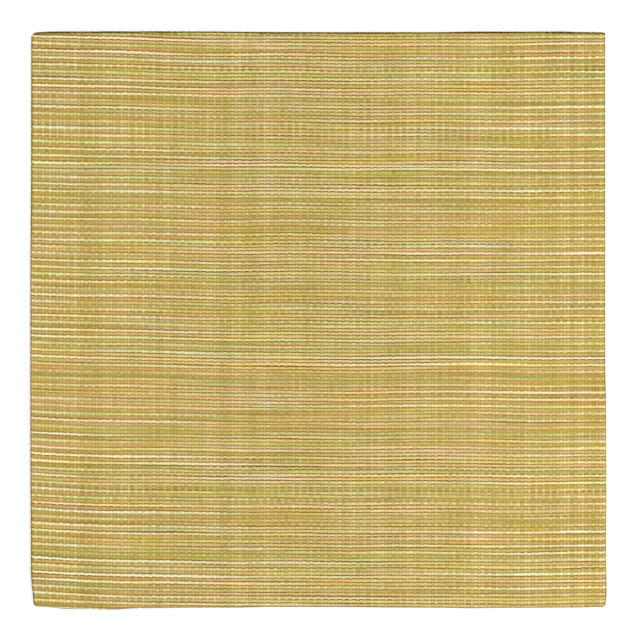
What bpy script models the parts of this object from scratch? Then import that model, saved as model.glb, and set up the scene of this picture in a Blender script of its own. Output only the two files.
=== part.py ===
"""A borderless square tatami mat, in metres with +Z up, lying flat on the ground.

One woven facing covers the mat. It rolls over the four top edges, runs down the sides
and is tucked under, so the mat is one closed body. The ribs of the weave run along Y
and stand up from its face. The mat's middle is at x = 0, y = 0, and its underside at
z = 0.
"""

from bisect import bisect_right
from math import cos, hypot, pi, sqrt

import bpy
from mathutils import Vector

# Driving sizes
WIDTH = 0.820
LENGTH = 0.823
THICKNESS = 0.015
RIB_COUNT = 161
RIB_RELIEF = 0.0005
TOP_ROLL = 0.003
UNDER_FOLD_RISE = 0.002
UNDER_FOLD_REACH = 0.0012

# How far the uneven sides pull the ribs beside them along
BOW_REACH = 0.010

# Where the face has points, as shares of a rib from the sides and of the roll from the ends
SIDE_LINES = (0.0, 0.08, 0.25)
ROLL_STEPS = (0.0, 0.3, 1.0)

# Corner radii in plan, by the side and the end that meet there
CORNER_RADIUS = {
    ("left", "near"): 0.008,
    ("left", "far"): 0.009,
    ("right", "near"): 0.005,
    ("right", "far"): 0.0025,
}

# How far each edge stands out from a straight line, by the share of the way along it
# Columns: share from the near end or from the left end, outward offset in metres
LEFT_EDGE = ((0.0, -0.0024), (0.04, -0.0004), (0.2, 0.0006), (0.62, 0.0006), (0.8, 0.0), (1.0, 0.0))
RIGHT_EDGE = ((0.0, 0.0004), (0.05, 0.0010), (0.5, 0.0002), (1.0, -0.0008))
NEAR_EDGE = ((0.0, 0.0), (0.15, 0.0008), (0.44, -0.0010), (0.6, -0.0008), (0.76, 0.0008), (1.0, 0.0))
FAR_EDGE = ((0.0, 0.0), (0.42, 0.0002), (0.54, -0.0010), (0.8, -0.0006), (1.0, -0.0002))

# The straw of the facing: linear colour and roughness
STRAW = (0.56, 0.43, 0.16, 1.0)
STRAW_ROUGHNESS = 0.62

RIB_PITCH = WIDTH / RIB_COUNT


def offset_at(edge, share):
    """Reads an edge's table at a share of its length, with a soft turn at each row."""
    row = min(max(bisect_right([place for place, _ in edge], share) - 1, 0), len(edge) - 2)
    (start, low), (end, high) = edge[row], edge[row + 1]
    along = min(max((share - start) / (end - start), 0.0), 1.0)
    return low + (high - low) * along * along * (3.0 - 2.0 * along)


def drawn_back(from_side, radius):
    """How far a corner's arc draws an end back, at a distance in from the side."""
    if from_side >= radius:
        return 0.0
    return radius - sqrt(radius**2 - (radius - from_side) ** 2)


def stations():
    """Distances from the left side of the lines that the face's points lie on.

    The first rib has extra lines for the corner arc and the roll. After it, each rib has
    one line along its crest and one along the groove beside it.
    """
    close = [share * RIB_PITCH for share in SIDE_LINES]
    ribs = [half * RIB_PITCH / 2 for half in range(1, 2 * RIB_COUNT)]
    return close + ribs + [WIDTH - place for place in reversed(close)]


def side_of(place):
    """The nearer side and the distance to it, for a station's place across the mat."""
    return ("left", place) if place < WIDTH / 2 else ("right", WIDTH - place)


def ends_at(place):
    """Where a station's line meets the near and the far edge."""
    side, from_side = side_of(place)
    share = place / WIDTH
    near = -LENGTH / 2 - offset_at(NEAR_EDGE, share)
    far = LENGTH / 2 + offset_at(FAR_EDGE, share)
    near += drawn_back(from_side, CORNER_RADIUS[side, "near"])
    far -= drawn_back(from_side, CORNER_RADIUS[side, "far"])
    return near, far


def across_at(place, y):
    """The x of a station's line at y, with the bow of the side that it is close to."""
    side, from_side = side_of(place)
    edge = LEFT_EDGE if side == "left" else RIGHT_EDGE
    outward = offset_at(edge, y / LENGTH + 0.5) * max(1.0 - from_side / BOW_REACH, 0.0)
    x = place - WIDTH / 2
    return x - outward if side == "left" else x + outward


def height_at(place, from_near, from_far):
    """The face's height, on a rib or in a groove, dropping where it rolls over an edge."""
    side, from_side = side_of(place)
    end, from_end = ("near", from_near) if from_near < from_far else ("far", from_far)
    radius = CORNER_RADIUS[side, end]
    if from_side < radius and from_end < radius:
        inside = radius - hypot(radius - from_side, radius - from_end)
    else:
        inside = min(from_side, from_end)
    inside = min(max(inside, 0.0), TOP_ROLL)
    roll = TOP_ROLL - sqrt(TOP_ROLL**2 - (TOP_ROLL - inside) ** 2)
    groove = (1.0 + cos(2 * pi * place / RIB_PITCH)) / 2
    return THICKNESS - roll - RIB_RELIEF * groove * inside / TOP_ROLL


def line_along(place):
    """The points of one station's line, from the near edge to the far edge.

    A line beside an uneven side has more points, so that it can follow the side.
    """
    near, far = ends_at(place)
    steps = [share * TOP_ROLL for share in ROLL_STEPS]
    rows = [near + step for step in steps]
    if side_of(place)[1] < BOW_REACH:
        edge = LEFT_EDGE if side_of(place)[0] == "left" else RIGHT_EDGE
        turns = [share for share, _ in edge[1:-1]]
        halfway = [(a + b) / 2 for a, b in zip([0.0] + turns, turns + [1.0])]
        rows += [LENGTH * (share - 0.5) for share in sorted(turns + halfway)]
    rows += [far - step for step in reversed(steps)]
    side, from_side = side_of(place)
    near_drawn = drawn_back(from_side, CORNER_RADIUS[side, "near"])
    far_drawn = drawn_back(from_side, CORNER_RADIUS[side, "far"])
    return [
        (across_at(place, y), y, height_at(place, y - near + near_drawn, far - y + far_drawn))
        for y in rows
    ]


def strip(left, right):
    """Faces between two lines of points that run the same way, facing up if left is left."""
    if len(left) == len(right):
        return list(zip(left, right, right[1:], left[1:]))
    faces = []
    i = j = 0
    while i + j < len(left) + len(right) - 2:
        if (i + 0.5) / (len(left) - 1) < (j + 0.5) / (len(right) - 1):
            faces.append((left[i], right[j], left[i + 1]))
            i += 1
        else:
            faces.append((left[i], right[j], right[j + 1]))
            j += 1
    return faces


def rim_of(lines):
    """The face's outline, counter-clockwise from above, starting at the near left."""
    near = [line[0] for line in lines]
    far = [line[-1] for line in reversed(lines)]
    return near + lines[-1][1:-1] + far + lines[0][-2:0:-1]


def tucked_in(points, rim):
    """The rim's places moved inwards by the reach of the fold below the side."""
    moved = []
    for at, index in enumerate(rim):
        before = Vector(points[rim[at - 1]][:2])
        after = Vector(points[rim[(at + 1) % len(rim)]][:2])
        along = (after - before).normalized()
        here = Vector(points[index][:2])
        moved.append(here + UNDER_FOLD_REACH * Vector((-along.y, along.x)))
    return moved


def mat_points_and_faces():
    points, lines = [], []
    for place in stations():
        line = line_along(place)
        lines.append(list(range(len(points), len(points) + len(line))))
        points += line
    faces = [face for pair in zip(lines, lines[1:]) for face in strip(*pair)]

    rim = rim_of(lines)
    low = list(range(len(points), len(points) + len(rim)))
    points += [(points[i][0], points[i][1], UNDER_FOLD_RISE) for i in rim]
    under = list(range(len(points), len(points) + len(rim)))
    points += [(place.x, place.y, 0.0) for place in tucked_in(points, rim)]
    for upper, lower in ((rim, low), (low, under)):
        for at in range(len(rim)):
            after = (at + 1) % len(rim)
            faces.append((upper[at], lower[at], lower[after], upper[after]))

    across = len(lines)
    beside = len(lines[-1]) - 2
    near = under[:across]
    far = under[across + beside : 2 * across + beside][::-1]
    lanes = [[start, end] for start, end in zip(near, far)]
    lanes[0] = [near[0]] + under[2 * across + beside :][::-1] + [far[0]]
    lanes[-1] = [near[-1]] + under[across : across + beside] + [far[-1]]
    for left, right in zip(lanes, lanes[1:]):
        faces += [face[::-1] for face in strip(left, right)]
    return centred(points), faces


def centred(points):
    """The same points with the middle of their plan at x = 0, y = 0."""
    middle_x = (min(p[0] for p in points) + max(p[0] for p in points)) / 2
    middle_y = (min(p[1] for p in points) + max(p[1] for p in points)) / 2
    return [(x - middle_x, y - middle_y, z) for x, y, z in points]


def straw_material():
    material = bpy.data.materials.new("woven_straw")
    material.use_nodes = True
    shader = material.node_tree.nodes["Principled BSDF"]
    shader.inputs["Base Color"].default_value = STRAW
    shader.inputs["Roughness"].default_value = STRAW_ROUGHNESS
    shader.inputs["Metallic"].default_value = 0.0
    return material


def make_mat():
    points, faces = mat_points_and_faces()
    mesh = bpy.data.meshes.new("woven_mat")
    mesh.from_pydata(points, [], faces)
    mesh.materials.append(straw_material())
    mesh.update()
    mat = bpy.data.objects.new("woven_mat", mesh)
    bpy.context.scene.collection.objects.link(mat)


for existing in list(bpy.data.objects):
    bpy.data.objects.remove(existing, do_unlink=True)
make_mat()
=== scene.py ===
"""A borderless half-size tatami mat, its woven face laid strand by strand.

The facing is worked out flat, as the loom gives it, and is then taken over the mat's edges,
down its sides and under it. Each place where a strand lies over a rib is a small arched
float. Strands go over every second rib, and the next strand over the ribs between.
"""

from math import ceil, cos, pi, sin

import bpy
import numpy as np
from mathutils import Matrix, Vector


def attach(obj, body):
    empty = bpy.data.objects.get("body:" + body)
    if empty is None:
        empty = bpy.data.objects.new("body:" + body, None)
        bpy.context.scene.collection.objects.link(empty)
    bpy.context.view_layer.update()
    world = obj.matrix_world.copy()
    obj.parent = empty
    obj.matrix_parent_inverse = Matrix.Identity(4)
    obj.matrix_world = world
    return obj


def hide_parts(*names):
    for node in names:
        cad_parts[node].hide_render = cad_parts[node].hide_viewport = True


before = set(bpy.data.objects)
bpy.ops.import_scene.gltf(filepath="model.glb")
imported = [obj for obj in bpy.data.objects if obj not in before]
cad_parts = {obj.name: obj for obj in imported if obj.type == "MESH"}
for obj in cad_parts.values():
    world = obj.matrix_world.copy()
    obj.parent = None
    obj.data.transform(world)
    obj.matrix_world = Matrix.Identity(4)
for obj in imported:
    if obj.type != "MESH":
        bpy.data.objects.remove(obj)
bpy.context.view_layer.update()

# The mat, in metres
RIB_COUNT = 161
WIDTH = 0.820
LENGTH = 0.823
THICKNESS = 0.015
RIB_PITCH = WIDTH / RIB_COUNT
# The plan's middle, where x and y are measured from, lies a little off its ruled width and length
MIDDLE = (0.0002, -0.0003)

# How far each edge stands out from a straight line
# Columns: share from the near end or from the left end, outward offset in metres
LEFT_EDGE = (
    (0.0, -0.0036),
    (0.065, 0.0003),
    (0.3, 0.0009),
    (0.55, 0.0009),
    (0.8, 0.0),
    (1.0, -0.0002),
)
RIGHT_EDGE = (
    (0.0, 0.0),
    (0.03, 0.0015),
    (0.1, 0.0008),
    (0.2, 0.0012),
    (0.33, 0.0010),
    (0.43, -0.0001),
    (1.0, -0.0003),
)
NEAR_EDGE = (
    (0.0, -0.0024),
    (0.02, -0.0020),
    (0.07, 0.0011),
    (0.14, 0.0018),
    (0.2, -0.0002),
    (0.35, -0.0008),
    (0.42, -0.0016),
    (0.5, -0.0016),
    (0.7, -0.0006),
    (0.77, 0.0003),
    (0.84, -0.0006),
    (0.92, -0.0008),
    (1.0, -0.0014),
)
FAR_EDGE = (
    (0.0, -0.0010),
    (0.04, 0.0),
    (0.15, 0.0003),
    (0.3, 0.0002),
    (0.45, -0.0009),
    (0.7, -0.0009),
    (0.78, -0.0001),
    (0.92, -0.0001),
    (0.96, -0.0009),
    (1.0, -0.0012),
)
# Corner radii in plan, by the side and the end that meet there
CORNER_RADIUS = {
    ("left", "near"): 0.008,
    ("left", "far"): 0.009,
    ("right", "near"): 0.005,
    ("right", "far"): 0.0025,
}

# The weave: one colour repeat is two pairs of pale strands and two pairs of dark ones
STRANDS_IN_REPEAT = 8
STRAND_PITCH = 0.00992 / STRANDS_IN_REPEAT
# How far down from midway the strands over odd ribs lie. Below zero is up
PAIR_SHIFT = -0.00084
FLOAT_HALF_LENGTH = 0.66 * RIB_PITCH
FLOAT_HALF_WIDTH = 1.04 * STRAND_PITCH
FLOAT_RISE = 0.0008
FLOAT_LEAN = -0.04
# One float's shape, where a point on it lies from -1 to 1 along it and across it
FLOAT_SPREAD = 0.3
FLOAT_NARROWING = 0.5
ARCH_TOP = 1.16
ARCH_DIVE = 1.32
ARCH_DIVE_POWER = 1.9
ARCH_ROUNDING = 0.75
# Floats are scattered over this much sideways, and up and down
SIDEWAYS_SCATTER = 0.0004
UPDOWN_SCATTER = 0.0006
# A pale pair is this much taller than its share on each side, and a dark pair shorter
PALE_GAIN = 0.00048
# Dark pairs stray up and down, and each line between pairs a little more, in slow waves
PAIR_STRAY = 0.0027
LINE_STRAY = 0.0018
STRAY_LENGTH = 0.16
# All of the strands wander up and down together, in waves this high, long and wide
WANDER = 0.0042
WANDER_LENGTH = 0.18
WANDER_WIDTH = 0.3
# No pair gets thinner than this share of its usual width
THINNEST = 0.35
FLOAT_POINTS = 12
# How much of its cell in the UV map a float fills, to each side of the cell's middle
CELL_FILLED = 0.45
# The strands sag from the left edge towards the middle
SAG_DEPTH = 0.0078
SAG_REACH = 0.157
# The first strand starts this far past the cloth's far end, besides the sag
FIRST_STRAND_UP = 0.0043

# The facing's way over an edge: a roll, the side, a fold and a tuck under the mat
TOP_ROLL = 0.003
UNDER_FOLD = 0.002
TUCK = 0.009
# The body lies this much deeper than a float is high
BODY_DROP = 0.00005
ROLL_RADIUS = TOP_ROLL - FLOAT_RISE
FOLD_RADIUS = UNDER_FOLD - FLOAT_RISE
ROLL_END = ROLL_RADIUS * pi / 2
SIDE_END = ROLL_END + THICKNESS - TOP_ROLL - UNDER_FOLD
FOLD_END = SIDE_END + FOLD_RADIUS * pi / 2
CLOTH_PAST_EDGE = FOLD_END + TUCK - TOP_ROLL
HALF_CLOTH_WIDTH = WIDTH / 2 + CLOTH_PAST_EDGE
HALF_CLOTH_LENGTH = LENGTH / 2 + CLOTH_PAST_EDGE
# At a corner the cloth is notched, from this far short of both edges
CORNER_CUT = 0.0009
# At a corner, cloth this near to the next edge is gathered in
CORNER_GATHER = 0.0025

# Where the straw bends over an edge it is darkened by painted shade on the roll, most of all at
# the far and left edges
# Columns: strength, and the angle round the roll where it starts
ROLL_PAINTED_SHADE = {"left": (0.92, 0.35), "right": (0.5, 0.35), "near": (0.85, 0.75), "far": (0.95, -0.2)}
# How far round it takes to come on, and where it ends down the side
ROLL_PAINTED_SHADE_SPREAD = 0.35
ROLL_PAINTED_SHADE_FADE = 0.0015
# Along the near edge it fades out to the right of here
NEAR_PAINTED_SHADE_END = -0.23
NEAR_PAINTED_SHADE_FADE = 0.04

# The body's outline in plan: its steps round a corner and along an edge, and where they meet
CORNER_STEPS = 6
EDGE_STEPS = 24
STEPS_SHORT_OF_CORNERS = 0.03
SHARPEST_CORNER = 0.0002
# A corner's arc is read no nearer to the next edge than this share of its radius
ARC_START = 0.1
# How far round the body's own roll its middle line of points lies
BODY_ROLL_SHARE = 0.7

# The strands are laid in bands, so that no one piece is too heavy
BANDS = 5
RIBS_PAST_EDGE = 6
FLOATS_IN_STRAND = RIB_COUNT // 2 + RIBS_PAST_EDGE + 1
STRANDS = ceil((2 * HALF_CLOTH_LENGTH + SAG_DEPTH + FIRST_STRAND_UP) / STRAND_PITCH) + 1
STRANDS_IN_BAND = ceil(STRANDS / BANDS)


def linear(*display):
    """A colour as a screen shows it, 0 to 255, as linear light."""
    shares = [value / 255 for value in display]
    return tuple(v / 12.92 if v <= 0.04045 else ((v + 0.055) / 1.055) ** 2.4 for v in shares)


# Colours of the strands in one repeat, downwards: at the left end, midway and at the right end
LEFT_COLOURS = (
    linear(221, 212, 184),
    linear(217, 208, 176),
    linear(176, 167, 103),
    linear(183, 172, 112),
    linear(182, 151, 84),
    linear(179, 149, 81),
    linear(176, 145, 79),
    linear(183, 150, 87),
)
MIDDLE_COLOURS = (
    linear(202, 185, 142),
    linear(199, 181, 136),
    linear(126, 126, 40),
    linear(149, 145, 66),
    linear(205, 185, 142),
    linear(200, 180, 136),
    linear(149, 99, 34),
    linear(165, 124, 62),
)
RIGHT_COLOURS = (
    linear(186, 158, 89),
    linear(183, 156, 87),
    linear(172, 162, 95),
    linear(180, 169, 106),
    linear(222, 210, 177),
    linear(218, 206, 169),
    linear(175, 141, 77),
    linear(184, 151, 91),
)
GREEN_TINT = linear(224, 248, 228)
ORANGE_TINT = linear(255, 228, 224)
# How much of the colour at an end has come in when a strand gets there
END_COLOUR_SHARE = 0.9

# How light the strands are, as a share of their colour, and how far each cause changes that
LIGHTNESS = 0.91
BY_LINE = 0.2
BY_PLACE_ON_LINE = 0.4
BY_STRAND = 0.1
BY_RIB = 0.18
BY_PATCH = 0.10
BY_FLOAT = 0.12
# In a dark pair the first two count for this share more, and this is added to the third
MORE_BY_LINE_IF_DARK = 0.7
MORE_BY_STRAND_IF_DARK = 0.26
LIGHTEST = 1.1
DARKEST = 0.1
# A dark pair is browner where slow noise is over the first value, by how far it is over
BROWNED_FROM = 0.46
BROWNED_BY = 0.8
# What a pale pair's lightness is multiplied by, and how much more a dark pair's is
PALE_PAIR_GAIN = 0.95
DARK_PAIR_MORE_GAIN = 0.17
# The painted shade at a float's sides, and how much more there is where it dives between two ribs
SIDE_PAINTED_SHADE = 0.05
SIDE_PAINTED_SHADE_AT_DIVE = 2.6
SIDE_PAINTED_SHADE_POWER = 3.0
# The painted shade where a float dives between two ribs. A pale one gets painted light there
# instead, so that its line isn't broken
PALE_DIVE_PAINTED_SHADE = -0.25
DARK_DIVE_MORE_PAINTED_SHADE = 1.47
DIVE_PAINTED_SHADE_POWER = 1.8
DARKEST_PAINTED_DIVE = 0.2
# How far a pair's own hue, and its place, take it from green towards orange
HUE_BY_PAIR = 0.5
HUE_BY_PLACE = 1.3
# Where straw is drawn darker, by its own tone or by painted shade, its green and blue fall faster
# than its red
GREEN_POWER = 1.05
BLUE_POWER = 2.6
# How long the slow changes along a strand are, in metres
TONE_LENGTH = 0.2
HUE_LENGTH = 0.09
PATCH_LENGTH = 0.03
BROWNED_LENGTH = 0.12
BLEACHED_LENGTH = 0.2
STRAND_BLEACHED_LENGTH = 0.16
FIBRE_LENGTH = 0.02
# How many strands a patch and a bleached place are wide
STRANDS_IN_PATCH = 120.0
STRANDS_IN_BLEACHED = 10.0
FIBRE_RELIEF = 0.0002
FIBRE_STRENGTH = 0.35
FIBRE_ROUGHNESS = 0.52
FIBRE_ROUGHNESS_SPREAD = 0.2
STRAW_SPECULAR = 0.15

# The ground under the strands: its colours, darker than the strands' partly as painted shade in
# the gaps between them, what mixes them, and its relief
GROUND_DARK = linear(122, 98, 52)
GROUND_LIGHT = linear(176, 150, 92)
GROUND_BY_ROW = 0.35
GROUND_BY_FLOAT = 0.25
GROUND_BY_PLACE = 0.6
GROUND_LENGTH = 0.06
GROUND_RIB_RELIEF = 0.7
GROUND_ROW_RELIEF = 0.5
GROUND_RELIEF = 0.0006
GROUND_STRENGTH = 0.8
GROUND_ROUGHNESS = 0.7

# The studio: a pale floor, an even sky, two soft lights and a camera straight above
FLOOR_HALF = 4.0
FLOOR_COLOUR = (0.86, 0.86, 0.86, 1.0)
FLOOR_ROUGHNESS = 0.9
SKY_COLOUR = (1.0, 1.0, 1.0, 1.0)
SKY_STRENGTH = 0.75
# Columns: name, place, size in metres, watts
LIGHTS = (
    ("key", (1.1, -0.7, 2.5), 1.6, 52.0),
    ("fill", (-0.6, 0.6, 3.0), 2.5, 50.0),
)
CAMERA_PLACE = (0.0022, 0.00015, 2.1675)
CAMERA_LENS = 85.0


class Wire:
    """A socket in an expression. An operator on it adds a Math node to its tree."""

    def __init__(self, tree, socket):
        self.tree, self.socket = tree, socket

    def __add__(self, other):
        return self.tree.math("ADD", self, other)

    def __sub__(self, other):
        return self.tree.math("SUBTRACT", self, other)

    def __rsub__(self, other):
        return self.tree.math("SUBTRACT", other, self)

    def __mul__(self, other):
        return self.tree.math("MULTIPLY", self, other)

    def __truediv__(self, other):
        return self.tree.math("DIVIDE", self, other)

    def __pow__(self, other):
        return self.tree.math("POWER", self, other)

    def __mod__(self, other):
        return self.tree.math("FLOORED_MODULO", self, other)

    def __gt__(self, other):
        return self.tree.math("GREATER_THAN", self, other)

    def __abs__(self):
        return self.tree.math("ABSOLUTE", self)

    __radd__ = __add__
    __rmul__ = __mul__


class Tree:
    """A shader or geometry tree that expressions and single nodes are added to."""

    def __init__(self, tree):
        self.tree = tree

    def node(self, kind, settings=None, inputs=None):
        """Adds one node and returns it. Settings come first, then values and wires."""
        made = self.tree.nodes.new(kind)
        for name, value in (settings or {}).items():
            setattr(made, name, value)
        for name, value in (inputs or {}).items():
            if isinstance(value, Wire):
                self.tree.links.new(value.socket, made.inputs[name])
            else:
                made.inputs[name].default_value = value
        return made

    def out(self, kind, settings=None, inputs=None, output=0):
        """Adds one node and returns one of its outputs."""
        return Wire(self, self.node(kind, settings, inputs).outputs[output])

    def math(self, operation, *values):
        return self.out("ShaderNodeMath", {"operation": operation}, dict(enumerate(values)))

    def vector(self, x, y, z):
        return self.out("ShaderNodeCombineXYZ", inputs={0: x, 1: y, 2: z})

    def parts(self, vector):
        made = self.node("ShaderNodeSeparateXYZ", inputs={0: vector})
        return [Wire(self, socket) for socket in made.outputs]

    def random(self, x, y, z, output="Value"):
        """The same random value from 0 to 1 wherever the three numbers are the same.

        A plain number given for one of them only sets one use apart from the others.
        """
        settings = {"noise_dimensions": "3D"}
        place = self.vector(x, y, z)
        return self.out("ShaderNodeTexWhiteNoise", settings, {"Vector": place}, output)

    def noise(self, x, y, detail=2.0):
        """Smooth noise, mostly from 0.25 to 0.75, with one wave to a unit of x and of y.

        A plain number added to x or y only sets one use apart from the others, and one that
        multiplies a strand's or a pair's number sets it apart from its neighbours.
        """
        inputs = {"Vector": self.vector(x, y, 0.0), "Scale": 1.0, "Detail": detail}
        return self.out("ShaderNodeTexNoise", {"noise_dimensions": "2D"}, inputs)

    def attribute(self, name):
        settings = {"attribute_type": "GEOMETRY", "attribute_name": name}
        return self.out("ShaderNodeAttribute", settings, output="Fac")

    def mix(self, share, first, second, blend="MIX"):
        """Mixes two colours. Sockets 6 and 7 of the Mix node are its colours."""
        settings = {"data_type": "RGBA", "blend_type": blend}
        return self.out("ShaderNodeMix", settings, {0: share, 6: first, 7: second}, output=2)

    def steps(self, share, colours):
        """A ramp of plain steps, one to a colour, each as wide as the next."""
        made = self.node("ShaderNodeValToRGB", inputs={"Fac": share})
        ramp = made.color_ramp
        ramp.interpolation = "CONSTANT"
        for at, colour in enumerate(colours):
            # A new ramp has a stop at each end, and both are used up first
            stop = ramp.elements[at] if at < 2 else ramp.elements.new(at / len(colours))
            stop.position = at / len(colours)
            stop.color = (*colour, 1.0)
        return Wire(self, made.outputs["Color"])

    def stored(self, geometry, name, value):
        """The geometry with a value kept at each of its points under a name."""
        settings = {"data_type": "FLOAT", "domain": "POINT"}
        inputs = {"Geometry": geometry, "Name": name, "Value": value}
        return self.out("GeometryNodeStoreNamedAttribute", settings, inputs)

    def kept(self, name):
        """A value that the geometry's points carry under a name."""
        kind = "GeometryNodeInputNamedAttribute"
        return self.out(kind, {"data_type": "FLOAT"}, {"Name": name})


# The tree's own inputs, with the value that each band is given
LAYING = {
    "Rib pitch": RIB_PITCH,
    "Strand pitch": STRAND_PITCH,
    "Pair shift": PAIR_SHIFT,
    "Half length": FLOAT_HALF_LENGTH,
    "Half width": FLOAT_HALF_WIDTH,
    "Rise": FLOAT_RISE,
    "Lean": FLOAT_LEAN,
    "Pale gain": PALE_GAIN,
    "Pair stray": PAIR_STRAY,
    "Line stray": LINE_STRAY,
    "Stray length": STRAY_LENGTH,
    "Wander": WANDER,
    "Wander length": WANDER_LENGTH,
    "Wander width": WANDER_WIDTH,
    "Sag depth": SAG_DEPTH,
    "Sag reach": SAG_REACH,
    "Half cloth width": HALF_CLOTH_WIDTH,
    "Half cloth length": HALF_CLOTH_LENGTH,
    "Half mat width": WIDTH / 2,
    "Half mat length": LENGTH / 2,
    "First strand up": FIRST_STRAND_UP,
    "Ribs past edge": RIBS_PAST_EDGE,
    "Floats in strand": FLOATS_IN_STRAND,
    "Corner cut": CORNER_CUT,
    "First strand": 0,
    "Strand count": STRANDS_IN_BAND,
    "Seed": 4,
}


def weave_tree():
    """The tree that lays one band of floats flat, as the loom gives them."""
    group = bpy.data.node_groups.new("lay_floats", "GeometryNodeTree")
    group.interface.new_socket("Floats", in_out="OUTPUT", socket_type="NodeSocketGeometry")
    for name in LAYING:
        group.interface.new_socket(name, in_out="INPUT", socket_type="NodeSocketFloat")
    group.interface.new_socket("Straw", in_out="INPUT", socket_type="NodeSocketMaterial")
    tree = Tree(group)
    given = group.nodes.new("NodeGroupInput").outputs
    size = {socket.name: Wire(tree, socket) for socket in given if socket.name}

    def still_to_fall(run):
        """How much of the sag is still to come at a place, from 1 at the left edge down."""
        from_left = tree.math("MAXIMUM", run + size["Half mat width"], 0.0)
        return tree.math("EXPONENT", -1.0 * from_left / size["Sag reach"])

    # One float: an arch along the strand, rounded across it, narrow where it dives
    grid = {"Size X": 2.0, "Size Y": 2.0, "Vertices X": 4, "Vertices Y": 3}
    pillow = tree.out("GeometryNodeMeshGrid", inputs=grid)
    along, across, _ = tree.parts(tree.out("GeometryNodeInputPosition"))
    pillow = tree.stored(pillow, "along", along)
    pillow = tree.stored(pillow, "across", across)
    reach = along * (1.0 + FLOAT_SPREAD - FLOAT_SPREAD * abs(along)) * size["Half length"]
    narrowed = across * (1.0 - FLOAT_NARROWING * along * along) * size["Half width"]
    arch = ARCH_TOP - ARCH_DIVE * abs(along) ** ARCH_DIVE_POWER - ARCH_ROUNDING * across * across
    shaped = tree.vector(reach, narrowed + reach * size["Lean"], arch * size["Rise"])
    pillow = tree.out("GeometryNodeSetPosition", inputs={"Geometry": pillow, "Position": shaped})

    # A point for each float: every second rib, and the ribs between on the next strand
    index = tree.out("GeometryNodeInputIndex")
    row = tree.math("FLOOR", (index + 0.5) / size["Floats in strand"])
    column = index - row * size["Floats in strand"]
    strand = row + size["First strand"]
    odd = strand % 2.0
    rib = 2.0 * column + odd - size["Ribs past edge"]
    x = (rib + 0.5) * size["Rib pitch"] - size["Half mat width"]
    sag = size["Sag depth"] * (1.0 - still_to_fall(x))
    top = size["Half cloth length"] + size["Sag depth"] + size["First strand up"]
    y = top - strand * size["Strand pitch"] - odd * size["Pair shift"] - sag
    wander = tree.noise(x / size["Wander length"], y / size["Wander width"], 0.0) - 0.5
    y = y + wander * size["Wander"]
    # The two strands of a pair stay together, and each pair is thick in places and thin in others
    pair = tree.math("FLOOR", (strand + 0.5) / 2.0)
    lines = []
    for line in (pair, pair + 1.0):
        dark_pair = tree.math("FLOOR", (line + 1.5) / 2.0)
        shared = tree.noise(x / size["Stray length"], dark_pair * 3.71) - 0.5
        own = tree.noise(x / size["Stray length"], line * 2.93 + 50.0) - 0.5
        gain = (1.0 - 2.0 * (line % 2.0)) * size["Pale gain"]
        lines.append(shared * size["Pair stray"] + own * size["Line stray"] + gain)
    far_line, near_line = lines
    y = y + (far_line + near_line) / 2.0
    width = 1.0 + (far_line - near_line) / (2.0 * size["Strand pitch"])
    width = tree.math("MAXIMUM", width, THINNEST)
    sideways, updown, _ = tree.parts(tree.random(strand, rib, size["Seed"], "Color"))
    scattered_x = x + SIDEWAYS_SCATTER * (sideways - 0.5)
    scattered_y = y + UPDOWN_SCATTER * (updown - 0.5)
    spot = tree.vector(scattered_x, scattered_y, 0.0)
    count = size["Strand count"] * size["Floats in strand"]
    points = tree.out("GeometryNodePoints", inputs={"Count": count, "Position": spot})
    for name, value in (("strand", strand), ("column", column), ("run", x), ("width", width)):
        points = tree.stored(points, name, value)

    # The facing is cut to its tuck, notched at the corners and mitred where it is tucked
    flat_x, flat_y, _ = tree.parts(tree.out("GeometryNodeInputPosition"))
    past_side = abs(flat_x) - size["Half mat width"]
    past_end = abs(flat_y) - size["Half mat length"]
    tuck_x = past_side > size["Half cloth width"] - size["Half mat width"]
    tuck_y = past_end > size["Half cloth length"] - size["Half mat length"]
    notch = (past_side + size["Corner cut"] > 0.0) * (past_end + size["Corner cut"] > 0.0)
    tucked = tree.math("MAXIMUM", past_side, past_end) > FOLD_END - TOP_ROLL
    mitre = tucked * (past_side + past_end > FOLD_END - TOP_ROLL - UNDER_FOLD)
    cut = tree.math("MAXIMUM", tuck_x, tuck_y)
    cut = tree.math("MAXIMUM", cut, tree.math("MAXIMUM", notch, mitre))
    points = tree.out(
        "GeometryNodeDeleteGeometry",
        {"domain": "POINT"},
        {"Geometry": points, "Selection": cut},
    )
    # A float lies along the slope of its strand and is as wide as the pair is there
    slope = -1.0 * size["Sag depth"] / size["Sag reach"] * still_to_fall(tree.kept("run"))
    turn = tree.out("FunctionNodeEulerToRotation", inputs={0: tree.vector(0.0, 0.0, slope)})
    stretch = tree.vector(1.0, tree.kept("width"), 1.0)
    laid = tree.out(
        "GeometryNodeInstanceOnPoints",
        inputs={"Points": points, "Instance": pillow, "Rotation": turn, "Scale": stretch},
    )
    laid = tree.out("GeometryNodeRealizeInstances", inputs={0: laid})
    laid = tree.out("GeometryNodeSetShadeSmooth", inputs={"Geometry": laid})
    dressed = {"Geometry": laid, "Material": size["Straw"]}
    laid = tree.out("GeometryNodeSetMaterial", inputs=dressed)
    end = group.nodes.new("NodeGroupOutput")
    group.links.new(laid.socket, end.inputs[0])
    return group


def offset_at(edge, share):
    """Reads an edge's table at shares of its length, with a soft turn at each row."""
    places, offsets = np.array(edge).T
    row = np.clip(np.searchsorted(places, share, "right") - 1, 0, len(edge) - 2)
    along = np.clip((share - places[row]) / (places[row + 1] - places[row]), 0.0, 1.0)
    return offsets[row] + (offsets[row + 1] - offsets[row]) * along**2 * (3.0 - 2.0 * along)


def drawn_back(from_edge, radius):
    """How far a corner's arc draws an edge back, at a distance in from the other edge."""
    inside = np.clip(from_edge, ARC_START * radius, radius)
    return radius - np.sqrt(radius**2 - (radius - inside) ** 2)


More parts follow.
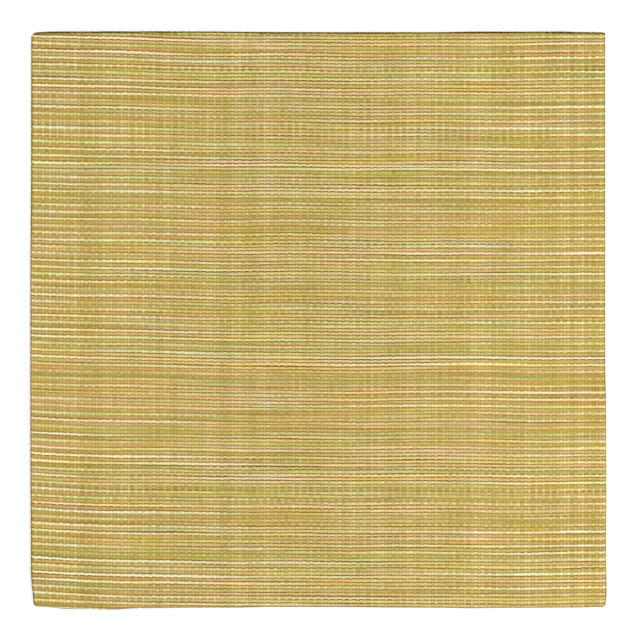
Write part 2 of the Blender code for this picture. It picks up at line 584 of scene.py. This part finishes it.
def side_at(x, y):
    """How far out the outline lies from the middle line of the plan, beside a point."""
    left, near = x < 0, y < 0
    share = y / LENGTH + 0.5
    out = np.where(left, offset_at(LEFT_EDGE, share), offset_at(RIGHT_EDGE, share))
    for (side, end), radius in CORNER_RADIUS.items():
        here = (left == (side == "left")) & (near == (end == "near"))
        out = out - np.where(here, drawn_back(LENGTH / 2 - np.abs(y), radius), 0.0)
    return WIDTH / 2 + out


def end_at(x, y):
    """The same for the near and far edges, beyond or short of a point."""
    left, near = x < 0, y < 0
    share = x / WIDTH + 0.5
    out = np.where(near, offset_at(NEAR_EDGE, share), offset_at(FAR_EDGE, share))
    for (side, end), radius in CORNER_RADIUS.items():
        here = (left == (side == "left")) & (near == (end == "near"))
        out = out - np.where(here, drawn_back(WIDTH / 2 - np.abs(x), radius), 0.0)
    return LENGTH / 2 + out


def over_edge(past_roll, height):
    """Takes cloth over an edge and under the mat.

    Given how far past the start of the roll it lies when flat, and its height off the
    cloth, returns how far out from the start of the roll it ends up, and how high.
    """
    top = THICKNESS - FLOAT_RISE
    turn = np.clip(past_roll / ROLL_RADIUS, 0.0, pi / 2)
    fold = np.clip((past_roll - SIDE_END) / FOLD_RADIUS, 0.0, pi / 2)
    down = np.clip(past_roll - ROLL_END, 0.0, SIDE_END - ROLL_END)
    back = np.maximum(past_roll - FOLD_END, 0.0)
    ahead = np.minimum(past_roll, 0.0)
    heading = turn + fold
    out = ahead + ROLL_RADIUS * np.sin(turn) - FOLD_RADIUS * (1.0 - np.cos(fold)) - back
    up = top - ROLL_RADIUS * (1.0 - np.cos(turn)) - down - FOLD_RADIUS * np.sin(fold)
    return out + height * np.sin(heading), up + height * np.cos(heading)


def gathered(place, limit):
    """Draws a float at a corner in, so that it stays inside the outline of the next edge."""
    past = np.abs(place) - (limit - CORNER_GATHER)
    squeezed = CORNER_GATHER * (1.0 - np.exp(-np.maximum(past, 0.0) / CORNER_GATHER))
    return np.sign(place) * (np.abs(place) - np.maximum(past, 0.0) + squeezed)


def painted_roll_shade_at(x, y, by_side, past_roll):
    """How much painted shade darkens the straw where it bends over an edge, from 0 to 1."""
    edges = (by_side & (x < 0), by_side & (x >= 0), ~by_side & (y < 0), ~by_side & (y >= 0))
    strength = np.select(edges, [ROLL_PAINTED_SHADE[name][0] for name in ("left", "right", "near", "far")])
    start = np.select(edges, [ROLL_PAINTED_SHADE[name][1] for name in ("left", "right", "near", "far")])
    rise = np.clip((past_roll / ROLL_RADIUS - start) / ROLL_PAINTED_SHADE_SPREAD, 0.0, 1.0)
    fade = np.clip(1.0 - (past_roll - ROLL_END) / ROLL_PAINTED_SHADE_FADE, 0.0, 1.0)
    leftwards = np.clip((NEAR_PAINTED_SHADE_END - x) / NEAR_PAINTED_SHADE_FADE, 0.0, 1.0)
    return strength * rise * fade * np.where(edges[2], leftwards, 1.0)


def wrapped(flat):
    """Takes flat floats over the mat's edges. Each one goes over a side or over an end.

    Returns the points and how much painted shade each has where it bends over an edge.
    """
    floats = flat.reshape(-1, FLOAT_POINTS, 3)
    middle = floats.mean(axis=1, keepdims=True)
    middle = np.broadcast_to(middle, floats.shape).reshape(-1, 3)
    middle_x, middle_y, _ = middle.T
    x, y, height = flat.T
    past_side = np.abs(middle_x) - side_at(middle_x, middle_y)
    past_end = np.abs(middle_y) - end_at(middle_x, middle_y)
    roll_x = side_at(x, y) - TOP_ROLL
    roll_y = end_at(x, y) - TOP_ROLL
    out_x, up_x = over_edge(np.abs(x) - roll_x, height)
    out_y, up_y = over_edge(np.abs(y) - roll_y, height)
    by_side = past_side > past_end
    placed_x = np.where(by_side, np.sign(x) * (roll_x + out_x), gathered(x, side_at(x, y)))
    placed_y = np.where(by_side, gathered(y, end_at(x, y)), np.sign(y) * (roll_y + out_y))
    placed_z = np.where(by_side, up_x, up_y)
    past_roll = np.where(by_side, np.abs(x) - roll_x, np.abs(y) - roll_y)
    # Painted shade where the cloth rolls over an edge
    painted_roll_shade = painted_roll_shade_at(x, y, by_side, past_roll)
    return np.stack([placed_x - MIDDLE[0], placed_y - MIDDLE[1], placed_z], axis=1), painted_roll_shade


def read(mesh, name):
    values = np.empty(len(mesh.vertices), dtype=np.float32)
    mesh.attributes[name].data.foreach_get("value", values)
    return values


def add_bake_layout(mesh, first_strand):
    """Gives every float a cell of its own in the piece's own UV map."""
    column = read(mesh, "column") + 0.5 + CELL_FILLED * read(mesh, "along")
    row = read(mesh, "strand") - first_strand + 0.5 + CELL_FILLED * read(mesh, "across")
    corners = np.empty(len(mesh.loops), dtype=np.int32)
    mesh.loops.foreach_get("vertex_index", corners)
    cells = (column[corners] / FLOATS_IN_STRAND, row[corners] / STRANDS_IN_BAND)
    layout = np.stack(cells, axis=1)
    mesh.uv_layers.new(name="OFBake").data.foreach_set("uv", layout.ravel())


def lay_band(group, number, straw):
    """Lays one band of strands, makes it a plain mesh and takes it over the edges."""
    holder = bpy.data.objects.new(f"strand_band_{number}", bpy.data.meshes.new("empty"))
    bpy.context.scene.collection.objects.link(holder)
    laying = holder.modifiers.new("lay_floats", "NODES")
    laying.node_group = group
    first = (number - 1) * STRANDS_IN_BAND
    values = {**LAYING, "First strand": first, "Straw": straw}
    for item in group.interface.items_tree:
        if item.in_out == "INPUT":
            value = values[item.name]
            laying[item.identifier] = value if item.name == "Straw" else float(value)
    evaluated = holder.evaluated_get(bpy.context.evaluated_depsgraph_get())
    mesh = bpy.data.meshes.new_from_object(evaluated)
    holder.modifiers.clear()
    mesh.name = holder.name
    flat = np.empty(len(mesh.vertices) * 3, dtype=np.float32)
    mesh.vertices.foreach_get("co", flat)
    placed, painted_roll_shade = wrapped(flat.reshape(-1, 3).astype(float))
    mesh.vertices.foreach_set("co", placed.astype(np.float32).ravel())
    # Each point keeps its painted shade on the roll for the material
    painted_roll_shade_layer = mesh.attributes.new("painted_roll_shade", "FLOAT", "POINT")
    painted_roll_shade_layer.data.foreach_set("value", painted_roll_shade.astype(np.float32))
    add_bake_layout(mesh, first)
    mesh.update()
    holder.data = mesh
    return holder


def plan_ring(inset, height):
    """The outline in plan, counter-clockwise from the near left, drawn in by an inset."""
    ring = []
    corners = (("left", "near"), ("right", "near"), ("right", "far"), ("left", "far"))
    for at, (side, end) in enumerate(corners):
        radius = CORNER_RADIUS[side, end]
        sign_x = -1.0 if side == "left" else 1.0
        sign_y = -1.0 if end == "near" else 1.0
        side_edge = LEFT_EDGE if side == "left" else RIGHT_EDGE
        end_edge = NEAR_EDGE if end == "near" else FAR_EDGE
        across = WIDTH / 2 + offset_at(side_edge, (sign_y + 1) / 2) - radius
        up = LENGTH / 2 + offset_at(end_edge, (sign_x + 1) / 2) - radius
        round_by = max(radius - inset, SHARPEST_CORNER)
        for step in range(CORNER_STEPS + 1):
            angle = pi + (at + step / CORNER_STEPS) * pi / 2
            x = sign_x * (across + radius - inset - round_by) + round_by * cos(angle)
            y = sign_y * (up + radius - inset - round_by) + round_by * sin(angle)
            ring.append((x, y))
        for step in range(1, EDGE_STEPS):
            share = step / EDGE_STEPS
            if at % 2 == 0:
                x = (share - 0.5) * (WIDTH - STEPS_SHORT_OF_CORNERS) * -sign_x
                reach = end_at(np.array(x), np.array(sign_y)) - inset
                ring.append((x, sign_y * float(reach)))
            else:
                y = (share - 0.5) * (LENGTH - STEPS_SHORT_OF_CORNERS) * -sign_y
                reach = side_at(np.array(sign_x), np.array(y)) - inset
                ring.append((sign_x * float(reach), y))
    return [(x - MIDDLE[0], y - MIDDLE[1], height) for x, y in ring]


def make_body(material):
    """The closed body under the strands, which shows in the gaps and on the underside."""
    depth = FLOAT_RISE + BODY_DROP
    rolled = BODY_ROLL_SHARE * (TOP_ROLL - depth)
    # Columns: how far in from the mat's outline, height
    levels = (
        (UNDER_FOLD, depth),
        (depth, UNDER_FOLD),
        (depth, THICKNESS - TOP_ROLL),
        (TOP_ROLL - rolled, THICKNESS - TOP_ROLL + rolled),
        (TOP_ROLL, THICKNESS - depth),
    )
    rings = [plan_ring(inset, height) for inset, height in levels]
    count = len(rings[0])
    faces = [tuple(range(count))[::-1]]
    for level in range(len(rings) - 1):
        low, high = level * count, (level + 1) * count
        for at in range(count):
            after = (at + 1) % count
            faces.append((low + at, low + after, high + after, high + at))
    faces.append(tuple(range((len(rings) - 1) * count, len(rings) * count)))
    mesh = bpy.data.meshes.new("mat_body")
    mesh.from_pydata([point for ring in rings for point in ring], [], faces)
    mesh.materials.append(material)
    mesh.update()
    body = bpy.data.objects.new("mat_body", mesh)
    bpy.context.scene.collection.objects.link(body)
    return body


def new_material(name):
    material = bpy.data.materials.new(name)
    material.use_nodes = True
    return Tree(material.node_tree), material.node_tree.nodes["Principled BSDF"], material


def strand_material():
    """Dry rush: each pair and each strand has its own shade and hue, which drift along it."""
    tree, shader, material = new_material("rush_strands")
    strand = tree.attribute("strand")
    run = tree.attribute("run")
    along = tree.attribute("along")
    across = tree.attribute("across")
    column = tree.attribute("column")

    # Every second pale pair lies the other way round, root for tip
    place = (strand % STRANDS_IN_REPEAT + 0.5) / STRANDS_IN_REPEAT
    rightwards = run / (WIDTH / 2)
    end_colour = tree.mix(
        rightwards > 0.0,
        tree.steps(place, LEFT_COLOURS),
        tree.steps(place, RIGHT_COLOURS),
    )
    end_share = END_COLOUR_SHARE * abs(rightwards)
    colour = tree.mix(end_share, tree.steps(place, MIDDLE_COLOURS), end_colour)

    pair = tree.math("FLOOR", (strand + 0.5) / 2.0)
    dark = pair % 2.0
    # A pair is dark where its neighbour is light, so that the whole face stays even
    far_tone, near_tone = (
        BY_LINE * tree.random(line, 5.0, 1.0)
        + BY_PLACE_ON_LINE * tree.noise(run / TONE_LENGTH, line * 3.7)
        for line in (pair, pair + 1.0)
    )
    tone = (far_tone - near_tone) * (1.0 + MORE_BY_LINE_IF_DARK * dark)
    by_strand = BY_STRAND + MORE_BY_STRAND_IF_DARK * dark
    own_shade = tree.random(strand, 3.0, 1.0) - tree.random(strand + 1.0, 3.0, 1.0)
    rib_shade = tree.random(2.0 * column + strand % 2.0, 8.0, 8.0) - 0.5
    patch = tree.noise(run / PATCH_LENGTH, strand / STRANDS_IN_PATCH + 9.0) - 0.5
    chance = tree.random(strand, column, 3.0) - tree.random(strand + 1.0, column, 3.0)
    shade = LIGHTNESS + tone + by_strand * own_shade + BY_RIB * rib_shade
    shade = shade + BY_PATCH * patch + BY_FLOAT * chance
    # Here and there a dark pair is browner still
    brown = tree.noise(run / BROWNED_LENGTH, pair * 5.3 + 20.0) - BROWNED_FROM
    brown = tree.math("MAXIMUM", brown, 0.0)
    shade = tree.math("MINIMUM", shade, LIGHTEST) - BROWNED_BY * brown * dark
    # Painted shade: a strand is darker at its sides, most of all where it dives between two ribs
    painted_side_shade = SIDE_PAINTED_SHADE + SIDE_PAINTED_SHADE_AT_DIVE * along * along
    painted_side_shade = tree.math("MINIMUM", painted_side_shade, 1.0)
    shade = shade * (PALE_PAIR_GAIN + DARK_PAIR_MORE_GAIN * dark)
    shade = shade * (1.0 - painted_side_shade * abs(across) ** SIDE_PAINTED_SHADE_POWER)
    # Painted shade where a float dives: a dark pair is darker all the way across, and a pale one
    # is painted lighter
    painted_dive_shade = DARK_DIVE_MORE_PAINTED_SHADE * dark + PALE_DIVE_PAINTED_SHADE
    painted_dive_factor = 1.0 - painted_dive_shade * abs(along) ** DIVE_PAINTED_SHADE_POWER
    shade = shade * tree.math("MAXIMUM", painted_dive_factor, DARKEST_PAINTED_DIVE)
    shade = tree.math("MAXIMUM", shade, DARKEST)
    # Painted shade where the facing rolls over the edges
    shade = shade * (1.0 - tree.attribute("painted_roll_shade"))

    own_hue = tree.random(pair, 3.0, 2.0) - 0.5
    hue_drift = tree.noise(run / HUE_LENGTH + 40.0, pair * 2.3) - 0.5
    hue = 0.5 + HUE_BY_PAIR * own_hue + HUE_BY_PLACE * hue_drift
    tint = tree.mix(hue, (*GREEN_TINT, 1.0), (*ORANGE_TINT, 1.0))
    colour = tree.mix(1.0, colour, tint, "MULTIPLY")
    # Some straw is sun-bleached and some is golden still, strand by strand and place by place
    pair_bleached = tree.noise(run / BLEACHED_LENGTH + 70.0, pair * 1.9)
    spot_bleached = tree.noise(run / STRAND_BLEACHED_LENGTH, strand / STRANDS_IN_BLEACHED)
    # Darker straw is painted richer in colour, standing in for the light that passes from strand
    # to strand in shade
    blue = shade**BLUE_POWER * (pair_bleached + spot_bleached)
    colour = tree.mix(1.0, colour, tree.vector(shade, shade**GREEN_POWER, blue), "MULTIPLY")

    fibre = tree.noise(run / FIBRE_LENGTH + along, strand * 9.0 + across * 2.5, 3.0)
    raised = {"Strength": FIBRE_STRENGTH, "Distance": FIBRE_RELIEF, "Height": fibre}
    bump = tree.out("ShaderNodeBump", inputs=raised, output="Normal")
    gloss = FIBRE_ROUGHNESS + FIBRE_ROUGHNESS_SPREAD * fibre
    for name, wire in (("Base Color", colour), ("Roughness", gloss), ("Normal", bump)):
        tree.tree.links.new(wire.socket, shader.inputs[name])
    shader.inputs["Specular IOR Level"].default_value = STRAW_SPECULAR
    return material


def body_material():
    """Straw in the gaps, darker partly as painted shade there, and the same plain weave on the
    underside.
    """
    tree, shader, material = new_material("rush_ground")
    x, y, _ = tree.parts(tree.out("ShaderNodeTexCoord", output="Object"))
    row = tree.math("FLOOR", y / (2 * STRAND_PITCH))
    rib = tree.math("FLOOR", x / RIB_PITCH)
    by_row = GROUND_BY_ROW * tree.random(row, 5.0, 1.0)
    by_float = GROUND_BY_FLOAT * tree.random(row, rib, 2.0)
    by_place = GROUND_BY_PLACE * tree.noise(x / GROUND_LENGTH, row * 3.1)
    tone = by_row + by_float + by_place
    # The ground is darker than the strands, partly as painted shade in the gaps
    colour = tree.mix(tone, (*GROUND_DARK, 1.0), (*GROUND_LIGHT, 1.0))
    over_rib = abs(tree.math("SINE", x * (pi / RIB_PITCH)))
    over_row = abs(tree.math("SINE", y * (pi / (2 * STRAND_PITCH))))
    relief = over_rib * GROUND_RIB_RELIEF + over_row * GROUND_ROW_RELIEF
    raised = {"Strength": GROUND_STRENGTH, "Distance": GROUND_RELIEF, "Height": relief}
    bump = tree.out("ShaderNodeBump", inputs=raised, output="Normal")
    for name, wire in (("Base Color", colour), ("Normal", bump)):
        tree.tree.links.new(wire.socket, shader.inputs[name])
    shader.inputs["Roughness"].default_value = GROUND_ROUGHNESS
    return material


def make_floor():
    mesh = bpy.data.meshes.new("floor")
    turns = ((-1, -1), (1, -1), (1, 1), (-1, 1))
    corners = [(x * FLOOR_HALF, y * FLOOR_HALF, 0.0) for x, y in turns]
    mesh.from_pydata(corners, [], [(0, 1, 2, 3)])
    _, shader, material = new_material("pale_floor")
    shader.inputs["Base Color"].default_value = FLOOR_COLOUR
    shader.inputs["Roughness"].default_value = FLOOR_ROUGHNESS
    mesh.materials.append(material)
    floor = bpy.data.objects.new("floor", mesh)
    bpy.context.scene.collection.objects.link(floor)
    return floor


def aim(thing, target):
    thing.rotation_euler = (Vector(target) - thing.location).to_track_quat("-Z", "Y").to_euler()


def add_light(name, place, size, watts):
    data = bpy.data.lights.new(name, "AREA")
    data.size = size
    data.energy = watts
    light = bpy.data.objects.new(name, data)
    light.location = place
    bpy.context.scene.collection.objects.link(light)
    aim(light, (0.0, 0.0, 0.0))


def add_camera():
    data = bpy.data.cameras.new("camera")
    data.lens = CAMERA_LENS
    camera = bpy.data.objects.new("camera", data)
    camera.location = CAMERA_PLACE
    bpy.context.scene.collection.objects.link(camera)
    bpy.context.scene.camera = camera


def add_studio():
    scene = bpy.context.scene
    scene.view_settings.view_transform = "Standard"
    world = bpy.data.worlds.new("studio")
    world.use_nodes = True
    background = world.node_tree.nodes["Background"]
    background.inputs["Color"].default_value = SKY_COLOUR
    background.inputs["Strength"].default_value = SKY_STRENGTH
    scene.world = world
    for name, place, size, watts in LIGHTS:
        add_light(name, place, size, watts)


straw = strand_material()
weave = weave_tree()
body = make_body(body_material())
bands = [lay_band(weave, number, straw) for number in range(1, BANDS + 1)]
for piece in (body, *bands):
    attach(piece, "root")
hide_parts("woven_mat")
2 * HALF_CLOTH_WIDTH
2 * HALF_CLOTH_LENGTH

make_floor()
add_studio()
add_camera()
